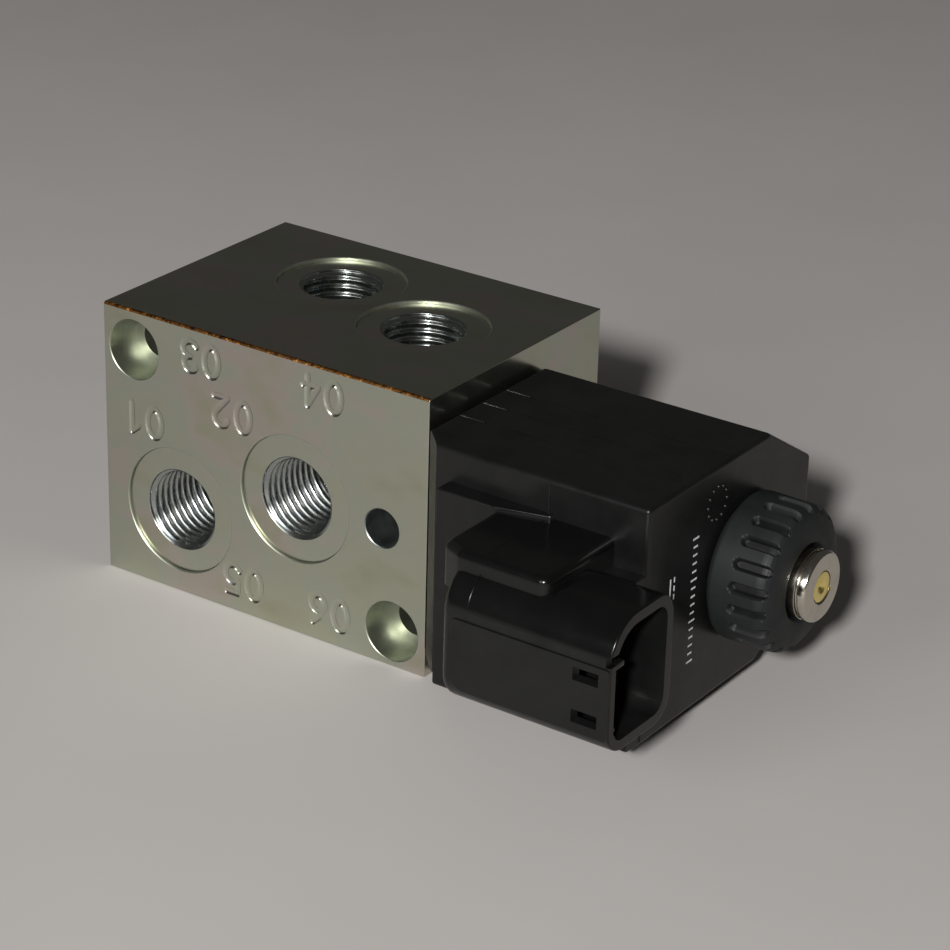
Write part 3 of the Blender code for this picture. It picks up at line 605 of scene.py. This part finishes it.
def build_block():
    bm = box((0, 0, 0), (LENGTH, DEPTH, HEIGHT))
    near = at(0, 0.01, HEIGHT - 0.01)
    round_edges(bm, 0.42, 3, 40.0, lambda e: all(v.co.y < near.y and v.co.z > near.z for v in e.verts))
    round_edges(bm, 0.20, 3, 40.0)
    mesh = to_mesh(bm, "manifold_block_looks")
    block = add("manifold_block_looks", mesh, ZINC, ZINC_BORE, EDGE_GLINTS, SHADE_BORE)
    # the rounding along the top front edge takes the painted warm glints
    for face in block.data.polygons:
        c = millimetres(face.center)
        if c.y < 0.41 and c.z > HEIGHT - 0.41 and abs(face.normal.x) < 0.5:
            face.material_index = 2

    dies = bmesh.new()
    for x, z, text in ((7.5, 26.6, "01"), (24.5, 32.1, "02"), (18.6, 39.4, "03"), (41.1, 39.7, "04"),
                       (26.4, 5.2, "05"), (42.6, 5.1, "06")):
        numeral_tool(dies, x, z, text)
    cut(block, add("dies", to_mesh(dies, "dies")), 0)

    bore, pole = 5.0, 10.0
    flange, plug = (PLUG_HIGH.y - PLUG_LOW.y) / 2 + 0.15, 8.2
    length = PLUG_HIGH.x + 0.3
    profile = [(-1.0, 0.0), (-1.0, flange + 0.2), (-0.01, flange + 0.2), (0.2, flange), (2.8, flange),
               (2.8, plug), (length, plug), (length, bore)]
    first_gallery, gallery_pitch, half_width, gallery = 14.4, 7.2, 1.6, 7.2
    for i in range(6):
        x = first_gallery + gallery_pitch * i
        profile += [(x - half_width, bore), (x - half_width, gallery),
                    (x + half_width, gallery), (x + half_width, bore)]
    profile += [(52.8, bore), (52.8, pole), (LENGTH - 0.2, pole), (LENGTH + 0.01, pole + 0.2),
                (LENGTH + 1, pole + 0.2), (LENGTH + 1, 0.0)]
    cut(block, turned("spool_bore", profile, ZINC), 1)

    for name, centre in PORT_CENTRES.items():
        out = FACES[name]
        start = centre + out * 1.0
        reach = {"port_c3": 20.0, "port_c2": 17.0, "port_p2": 17.5, "port_p1": 17.0}.get(name, 15.0)
        end = centre - out * reach
        bm = drill(start, end, [(0.0, SPOT_RADIUS + 0.12), (1.0, SPOT_RADIUS + 0.12), (1.1, SPOT_RADIUS),
                                (1.95, SPOT_RADIUS), (1.95, INSERT_RADIUS),
                                (1.0 + INSERT_DEPTH, INSERT_RADIUS), (1.0 + INSERT_DEPTH, 3.0),
                                (99, 3.0)], 96)
        cut(block, add(name + "_cutter", to_mesh(bm, "c")), 1)

    for name in ("upper_bolt_hole", "lower_bolt_hole"):
        low, high = OPENINGS[name]
        x, z = (low.x + high.x) / 2, (low.z + high.z) / 2
        bm = drill((x, -1, z), (x, DEPTH + 1, z),
                   [(0, 4.82), (1.0, 4.82), (1.12, 4.7), (7.0, 4.7), (7.0, 3.0), (44.85, 3.0), (45.0, 3.2),
                    (99, 3.2)], 72)
        cut(block, add(name, to_mesh(bm, "c")), 1)
    low, high = OPENINGS["locating_hole"]
    x, z = (low.x + high.x) / 2, (low.z + high.z) / 2
    bm = drill((x, -1, z), (x, 11.0, z), [(0, 3.15), (1.0, 3.15), (1.12, 3.0), (10.4, 3.0)], 56)
    # the locating hole's lining takes the painted shade colour
    cut(block, add("locating", to_mesh(bm, "c")), 3)
    shade_flats(block, 34)
    keep(block, "valve_body", "zinc_steel", "manifold_block")
    for name in FACES:
        port_lining(name)


def build_end_plug():
    flange = (PLUG_HIGH.y - PLUG_LOW.y) / 2
    end = PLUG_HIGH.x
    plug = turned("end_plug_looks", [
        (0.0, 0.0), (0.0, flange - 0.45), (0.12, flange - 0.12), (0.45, flange), (2.4, flange),
        (2.5, flange - 0.1), (2.5, 6.1), (4.5, 6.1), (4.5, 7.8), (4.6, 7.9), (end - 0.4, 7.9), (end, 7.5),
        (end, 3.0),
        (4.2, 3.0), (4.2, 0.0)], ZINC)
    bm = revolve([(-1.0, 0.0), (-1.0, 3.9), (-0.02, 3.9), (0.4, 3.46), (3.2, 3.46), (3.2, 0.0)],
                 ALONG @ Matrix.Rotation(math.radians(12), 4, "Z"), 6)
    plug.data.materials.append(ZINC_BORE)
    cut(plug, add("socket", to_mesh(bm, "c")), 1)
    shade(plug, 34)
    keep(plug, "valve_body", "zinc_steel", "end_plug")


# ---------------------------------------------------------------- the stud

def build_stud():
    end = STUD_HIGH.x
    inner = 2.4
    stud = turned("end_stop_looks", [
        (end, inner + 0.15), (end, 4.80), (end - 0.05, 4.95), (end - 0.20, 5.12), (end - 0.40, 5.2),
        (end - 1.18, 5.2), (end - 1.24, 5.14), (end - 1.26, 4.74), (end - 1.30, 4.72), (end - 1.66, 4.72),
        (end - 1.70, 4.74), (end - 1.72, 5.14), (end - 1.78, 5.2), (end - 3.4, 5.2), (end - 3.45, 5.1),
        (end - 3.6, 5.1), (end - 3.65, 5.2), (98.65, 5.2), (98.6, 6.2), (97.0, 6.2), (97.0, inner),
        (102.2, inner), (102.2, 3.65), (104.2, 3.65), (104.2, inner), (end - 0.12, inner)], NICKEL)
    shade(stud, 34)
    keep(stud, "valve_body", "nickel", "end_stop")
    tip, left = PIN_HIGH.x, PIN_LOW.x
    pin = turned("override_pin_looks", [
        (tip - 0.62, 0.0), (tip - 0.50, 0.28), (tip - 0.10, 0.95), (tip - 0.02, 1.08), (tip, 1.2),
        (tip, 2.12), (tip - 0.05, 2.24), (tip - 0.18, 2.3), (107.6, 2.3), (107.5, 2.1), (96.7, 2.1),
        (96.7, 2.9), (96.6, 3.0), (left + 0.1, 3.0),
        (left, 2.9), (left, 0.0)], BRASS, 72)
    shade(pin, 34)
    keep(pin, "override_pin", "brass", "override_pin")


# ----------------------------------------------------------------- the nut

def build_nut():
    left, right, radius = NUT_LOW.x, NUT_HIGH.x, (NUT_HIGH.y - NUT_LOW.y) / 2
    outer = [(left, radius - 0.6), (left + 0.08, radius - 0.36), (left + 0.25, radius - 0.16),
             (left + 0.5, radius - 0.04), (left + 0.8, radius)]
    outer += [(left + 0.8 + 0.16 * i, radius) for i in range(1, 35)]
    nose = [(left + 6.3, radius), (right - 2.4, radius - 0.03), (right - 1.8, radius - 0.16),
            (right - 1.25, radius - 0.5), (right - 0.8, radius - 1.05), (right - 0.48, radius - 1.8),
            (right - 0.24, radius - 2.7), (right - 0.08, radius - 3.6), (right - 0.01, radius - 4.3)]
    for (x0, r0), (x1, r1) in zip(nose, nose[1:]):
        steps = max(2, int(math.hypot(x1 - x0, r1 - r0) / 0.16))
        outer += [(x0 + (x1 - x0) * i / steps, r0 + (r1 - r0) * i / steps) for i in range(1, steps + 1)]
    grooved = len(outer)
    profile = outer + [(right, 6.2), (right - 0.03, 6.0), (right - 0.2, 5.75), (right - 0.45, 5.6),
                       (107.5, 5.6), (107.5, 7.15), (105.7, 7.15), (105.7, 5.6), (105.2, 5.6), (105.2, 7.8),
                       (left, 7.8)]
    ribs, first, last, half, depth = 20, left + 4.2, right - 1.55, 0.86, 1.05

    def radius_of(k, angle, height, r):
        if k >= grooved:
            return r
        turn = (angle / (2 * math.pi) * ribs) % 1.0 - 0.5
        across = turn * 2 * math.pi / ribs * radius
        d = math.hypot(across, max(0.0, first - height, height - last))
        t = min(1.0, max(0.0, (half - d) / 0.36))
        return r - depth * t * t * (3 - 2 * t)

    nut = turned("coil_nut_looks", profile, KNOB, 340, radius_of)
    nut.data.materials.append(SHADED_RECESS)
    heights, radii = zip(*outer)
    # the slots' floors take the darker colour: painted shade in the slots
    for face in nut.data.polygons:    # the slots' floors
        c = millimetres(face.center)
        if first - half < c.x < last + half:
            level = math.hypot(c.y - AXIS_Y, c.z - AXIS_Z)
            if 7.9 < level < np.interp(c.x, heights, radii) - 0.42:
                face.material_index = 1
    shade(nut, 50)
    keep(nut, "coil_nut", "black_nylon", "coil_nut")


# ---------------------------------------------------------------- the coil

def tube(points, radius):
    """A small round bead along a line of points, as a closed mesh."""
    curve = bpy.data.curves.new("bead", "CURVE")
    curve.dimensions = "3D"
    curve.bevel_depth = radius * MM
    curve.bevel_resolution = 2
    curve.use_fill_caps = True
    spline = curve.splines.new("POLY")
    spline.points.add(len(points) - 1)
    for p, q in zip(spline.points, points):
        p.co = (*at(*q), 1.0)
    obj = bpy.data.objects.new("bead", curve)
    SCENE.collection.objects.link(obj)
    bpy.context.view_layer.update()
    mesh = bpy.data.meshes.new_from_object(obj.evaluated_get(bpy.context.evaluated_depsgraph_get()))
    bpy.data.objects.remove(obj)
    return mesh


def build_coil():
    left, right = COIL_LOW.x, 99.2
    mouth = COIL_HIGH.x
    bottom, top, back = COIL_LOW.z, COIL_HIGH.z, COIL_HIGH.y
    face = -4.4
    outline = rounded([(face, bottom), (27.5, bottom), (back, AXIS_Z - 10.3), (back, AXIS_Z + 10.3),
                       (27.5, top), (face, top)], (0.7, 0.9, 0.7, 0.7, 0.9, 0.7), 4)
    bm = prism(outline, "X", left, right, 0.65, 4)
    coil = add("coil_housing_looks", to_mesh(bm, "coil_housing_looks"), BLACK, GLOSS_AND_SHADE, SHADED_RECESS)
    wedge = box((-6, -6, bottom - 1), (6, 6, top + 1))
    bmesh.ops.translate(wedge, verts=wedge.verts, vec=-at(0, 0, 0))
    bmesh.ops.rotate(wedge, verts=wedge.verts, cent=(0, 0, 0), matrix=Matrix.Rotation(math.pi / 4, 3, "Z"))
    shift = at(left, face, 0) + Vector((-1, -1, 0)) * (6 - 3.7 / math.sqrt(2)) / math.sqrt(2) * MM
    bmesh.ops.translate(wedge, verts=wedge.verts, vec=shift)
    cut(coil, add("wedge", to_mesh(wedge, "w")))

    # the panel that stands out under a ledge on the front, tapering away to the right
    panel = prism([(-3.4, bottom + 0.2), (-3.4, 30.2), (-7.0, 30.2), (-7.4, 29.8), (-7.4, bottom + 0.6),
                   (-7.0, bottom + 0.2)], "X", 66.5, right - 0.15, 0.25, 2)
    join(coil, add("panel", to_mesh(panel, "p")), "UNION")
    ledge = prism([(66.52, -3.4), (66.52, -7.38), (75.5, -7.38), (84.0, -5.2), (85.0, -3.4)],
                  "Z", 24.0, 35.0, 0.3, 3)
    join(coil, add("ledge", to_mesh(ledge, "l")), "UNION")

    front, rear, low, high = COIL_LOW.y + 0.35, -8.2, 13.0, 32.5
    shell = prism(rounded([(front, low), (rear, low), (rear, high), (front, high)], (4.0, 4.0, 4.0, 6.2), 8),
                  "X", 79.0, mouth)
    round_edges(shell, 1.5, 5, 40.0, lambda e: all(v.co.x < at(79.1, 0, 0).x for v in e.verts))
    round_edges(shell, 0.3, 3, 40.0, lambda e: all(v.co.x > at(mouth - 0.1, 0, 0).x for v in e.verts))
    join(coil, add("shell", to_mesh(shell, "s")), "UNION")
    root = box((79.25, rear - 1.3, low + 3.1), (right - 0.4, face + 1.3, 30.0))
    join(coil, add("root", to_mesh(root, "r")), "UNION")
    boss = prism(rounded([(76.0, face + 1.1), (76.0, -18.9), (79.6, -20.5), (93.9, -20.5),
                          (93.9, face + 1.1)], (0, 1.6, 2.0, 1.6, 0), 5), "Z", 28.0, 34.3)
    round_edges(boss, 1.1, 5, 40.0, lambda e: all(v.co.z > at(0, 0, 34.2).z for v in e.verts))
    join(coil, add("boss", to_mesh(boss, "b")), "UNION")
    # raised flat plate on the connector's front
    plate = prism(rounded([(80.9, 15.7), (mouth - 0.12, 15.7), (mouth - 0.12, 26.3), (80.9, 26.3)],
                          (2.4, 0.4, 0.4, 0.8), 5), "Y", COIL_LOW.y + 0.01, -21.0, 0.16, 2)
    join(coil, add("plate", to_mesh(plate, "pl")), "UNION")

    bore, recess = 8.3, 10.0
    cavity = turned("cavity", [
        (right + 1, 0.0), (right + 1, recess + 0.15), (right - 0.01, recess + 0.15), (right - 0.2, recess),
        (97.6, recess), (97.6, bore), (96.5, bore), (96.5, 16.2), (63.5, 16.2), (63.5, bore), (62.3, bore),
        (62.3, recess), (left - 1, recess), (left - 1, 0.0)], BLACK)
    cut(coil, cavity)
    wall = 1.7
    hollow = prism(rounded([(COIL_LOW.y + wall, low + wall), (rear - wall, low + wall),
                            (rear - wall, high - wall), (COIL_LOW.y + wall, high - wall)],
                           (2.2, 2.4, 2.4, 5.0), 8), "X", 84.0, mouth + 1)
    cut(coil, add("hollow", to_mesh(hollow, "h")))
    outside = COIL_LOW.y - 1
    # the connector's windows take the darker colour: painted shade inside them
    for corner, opposite in (((105.2, outside, 26.5), (mouth + 1, -21.4, 28.0)),
                             ((100.4, outside, 23.4), (104.4, -22.3, 25.3)),
                             ((100.4, outside, 17.2), (104.4, -22.3, 19.1)),
                             # longitudinal lines on the top
                             ((65.6, 5.57, top - 0.45), (right - 0.8, 6.03, top + 1)),
                             ((65.6, 11.17, top - 0.45), (right - 0.8, 11.63, top + 1)),
                             ((65.6, 17.07, top - 0.45), (right - 0.8, 17.53, top + 1))):
        cut(coil, add("opening", to_mesh(box(corner, opposite), "o")), 2 if corner[1] == outside else 0)

    channel = 1.1
    for name in ("upper_terminal", "lower_terminal"):
        t_low, t_high = (millimetres(p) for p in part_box(name))
        z, y = (t_low.z + t_high.z) / 2, t_low.y + 0.8
        along = drill((81.0, y, z), (85.0, y, z), [(0, channel), (99, channel)], 24)
        cut(coil, add("along", to_mesh(along, "a")))
        wide = channel + 0.2
        across = box((t_low.x + 0.8 - wide, y - wide, z - wide), (t_low.x + 0.8 + wide, 7.3, z + wide))
        cut(coil, add("across", to_mesh(across, "a")))

    # beads: the short ribs by the block, the mould's parting line, the ledge in the mouth
    extra = bmesh.new()
    for y in (5.8, 11.4, 17.3):
        extra.from_mesh(tube([(left + 0.7, y, top - 0.02), (left + 4.8, y, top - 0.02)], 0.2))
    x = 83.2
    extra.from_mesh(tube([(x, face - 0.02, 39.6), (x, face - 0.02, 34.6), (x, face - 0.35, 34.3),
                          (x, -19.0, 34.28), (x, -20.1, 33.6), (x, -20.35, 32.4)], 0.075))
    extra.from_mesh(tube([(x, -20.3, 32.1), (x, -21.6, 31.0), (x, -22.7, 29.6), (x, -23.4, 28.0),
                          (x, -23.66, 26.4)], 0.075))
    extra.from_mesh(to_box_mesh((104.0, -22.6, 25.5), (mouth - 0.2, -19.9, 26.4), 0.2))
    extra.from_mesh(to_box_mesh((103.2, -22.5, 16.4), (mouth - 0.25, -21.5, 17.0), 0.12))
    extra.from_mesh(to_box_mesh((103.2, -21.9, 14.5), (mouth - 0.25, -21.2, 15.6), 0.12))
    base = bmesh.new()
    base.from_mesh(coil.data)
    extra_mesh = bpy.data.meshes.new("extra")
    extra.to_mesh(extra_mesh)
    base.from_mesh(extra_mesh)
    base.to_mesh(coil.data)
    base.free()
    extra.free()
    # the connector's upper side and the boss on it come from a polished part of the mould; their darker
    # colour is painted shade on these upward faces
    for polygon in coil.data.polygons:
        c = millimetres(polygon.center)
        if c.y < face - 1 and c.z > 26.4 and c.x > 78.9 and polygon.normal.z > 0.1:
            polygon.material_index = 1
    shade_flats(coil, 32)
    keep(coil, "coil", "black_nylon", "coil_housing")
    return right


def to_box_mesh(low, high, bevel):
    return to_mesh(box(low, high, bevel, 2), "bar")


def build_marks(right):
    """Generic marks on the coil's end: a direct-current symbol, a row of ticks and a ring of dots."""
    bm = bmesh.new()

    def bar(y, z, wide, tall):
        bm.from_mesh(to_box_mesh((right - 0.03, y - wide / 2, z - tall / 2),
                                 (right + 0.018, y + wide / 2, z + tall / 2), 0.0))

    for i in range(16):
        bar(8.25, 12.0 + i * 1.27, 1.55 if i % 5 == 0 else 1.05, 0.28)
    bar(2.0, 25.5, 0.28, 3.4)
    for i in (-1, 0, 1):
        bar(3.0, 25.5 + i * 1.3, 0.28, 0.8)
    marks = add("coil_marks", to_mesh(bm, "coil_marks"), INK)
    keep(marks, "coil", "black_nylon")

    bm = bmesh.new()
    for i in range(12):
        angle = 2 * math.pi * i / 12
        centre = at(right - 0.02, 13.6 + 2.5 * math.cos(angle), 34.4 + 2.5 * math.sin(angle))
        bmesh.ops.create_uvsphere(bm, u_segments=16, v_segments=10, radius=0.34 * MM,
                                  matrix=Matrix.Translation(centre))
    dots = add("coil_dot_ring", to_mesh(bm, "coil_dot_ring"), BLACK)
    shade(dots, 60)
    keep(dots, "coil", "black_nylon")


def build_spring():
    """The return spring: a round wire helix with closed ends, flattened by the spool's travel."""
    low, high = (millimetres(p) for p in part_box("spool_spring"))
    wire, turns, steps = 0.35, 5.0, 220
    radius = (high.y - low.y) / 2 - wire
    points = []
    for i in range(steps + 1):
        share = i / steps
        angle = 2 * math.pi * (turns + 2) * share
        climb = min(1.0, max(0.0, (share * (turns + 2) - 1) / turns))
        x = low.x + wire + (high.x - low.x - 2 * wire) * climb
        points.append((x, AXIS_Y + radius * math.cos(angle), AXIS_Z + radius * math.sin(angle)))
    mesh = tube(points, wire)
    mesh.name = "spool_spring_looks"
    spring = add("spool_spring_looks", mesh, STEEL)
    for polygon in mesh.polygons:
        polygon.use_smooth = True
    keep(spring, "valve_body", "bright_steel", "spool_spring")
    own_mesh(spring)


build_block()
build_end_plug()
build_stud()
build_nut()
build_marks(build_coil())
build_spring()

# The pieces carried over from the CAD model keep its meshes and take procedural finishes
CARRIED = {
    RUBBER: ("end_plug_seal", "pole_seal", "override_pin_seal", "inner_coil_seal", "outer_coil_seal",
             "nut_seal"),
    STEEL: ("spool", "push_pin", "guide_tube", "armature"),
    ZINC: ("inner_flux_washer", "outer_flux_washer", "flux_sleeve", "pole_piece"),
    BRASS: ("nut_insert", "anti_stick_shim"),
    NATURAL: ("bobbin",),
    COPPER: ("winding",),
    NICKEL: ("upper_terminal", "lower_terminal"),
}
for finish, names in CARRIED.items():
    for name in names:
        node = frame["nodes"][name]
        node.data.materials.clear()
        node.data.materials.append(finish)


# ------------------------------------------------------------ the room

def build_floor():
    bm = bmesh.new()
    bmesh.ops.create_grid(bm, x_segments=1, y_segments=1, size=1.6)
    floor = add("floor", to_mesh(bm, "floor"))
    floor.location = (0.0, 0.0, cad_low.z - 0.00002)
    f = Finish("pale_floor")
    f.colour(f.noise(180.0, 3.0), [(0.3, (0.47, 0.45, 0.44)), (0.7, (0.51, 0.488, 0.475))])
    f.roughness(f.noise(30.0, 2.0, offset=2.0), 0.75, 0.9)
    floor.data.materials.append(f.material)


def build_camera():
    yaw, pitch, roll = math.radians(-34.24), math.radians(24.703), math.radians(1.595)
    ahead = Vector((math.sin(yaw) * math.cos(pitch), math.cos(yaw) * math.cos(pitch), -math.sin(pitch)))
    right = Vector((math.cos(yaw), -math.sin(yaw), 0.0))
    up = right.cross(ahead)
    x = right * math.cos(roll) + up * math.sin(roll)
    y = -right * math.sin(roll) + up * math.cos(roll)
    data = bpy.data.cameras.new("camera")
    data.sensor_width = 36.0
    data.lens = 118.97
    data.clip_start, data.clip_end = 0.01, 10.0
    camera = bpy.data.objects.new("camera", data)
    place = Matrix.Translation(at(291.61, -328.62, 217.56))
    camera.matrix_world = place @ Matrix((x, y, -ahead)).transposed().to_4x4()
    SCENE.collection.objects.link(camera)
    SCENE.camera = camera
    return camera.matrix_world.translation.copy(), right, up


def area_light(name, place, target, size, power, colour):
    data = bpy.data.lights.new(name, "AREA")
    data.shape = "DISK"
    data.size = size
    data.energy = power
    data.color = colour
    light = bpy.data.objects.new(name, data)
    light.location = place
    light.rotation_mode = "QUATERNION"
    light.rotation_quaternion = (Vector(target) - Vector(place)).to_track_quat("-Z", "Y")
    SCENE.collection.objects.link(light)


def build_room():
    build_floor()
    eye, right, up = build_camera()
    middle = at(55, 10, 20)
    ahead = (eye - middle).normalized()
    key = middle + (ahead - right * 0.16 + Vector((0, 0, 0.05))).normalized() * 1.15
    area_light("key", key, middle, 0.09, 16.0, (1.0, 0.985, 0.96))
    fill = middle + (ahead - right * 0.75 + Vector((0, 0, 0.10))).normalized() * 1.6
    area_light("fill", fill, middle, 0.7, 5.0, (0.96, 0.98, 1.0))
    world = bpy.data.worlds.new("room")
    SCENE.world = world
    world.use_nodes = True
    background = next(n for n in world.node_tree.nodes if n.type == "BACKGROUND")
    background.inputs["Color"].default_value = (0.95, 0.92, 0.88, 1.0)
    background.inputs["Strength"].default_value = 0.055
    SCENE.view_settings.view_transform = "Standard"


build_room()
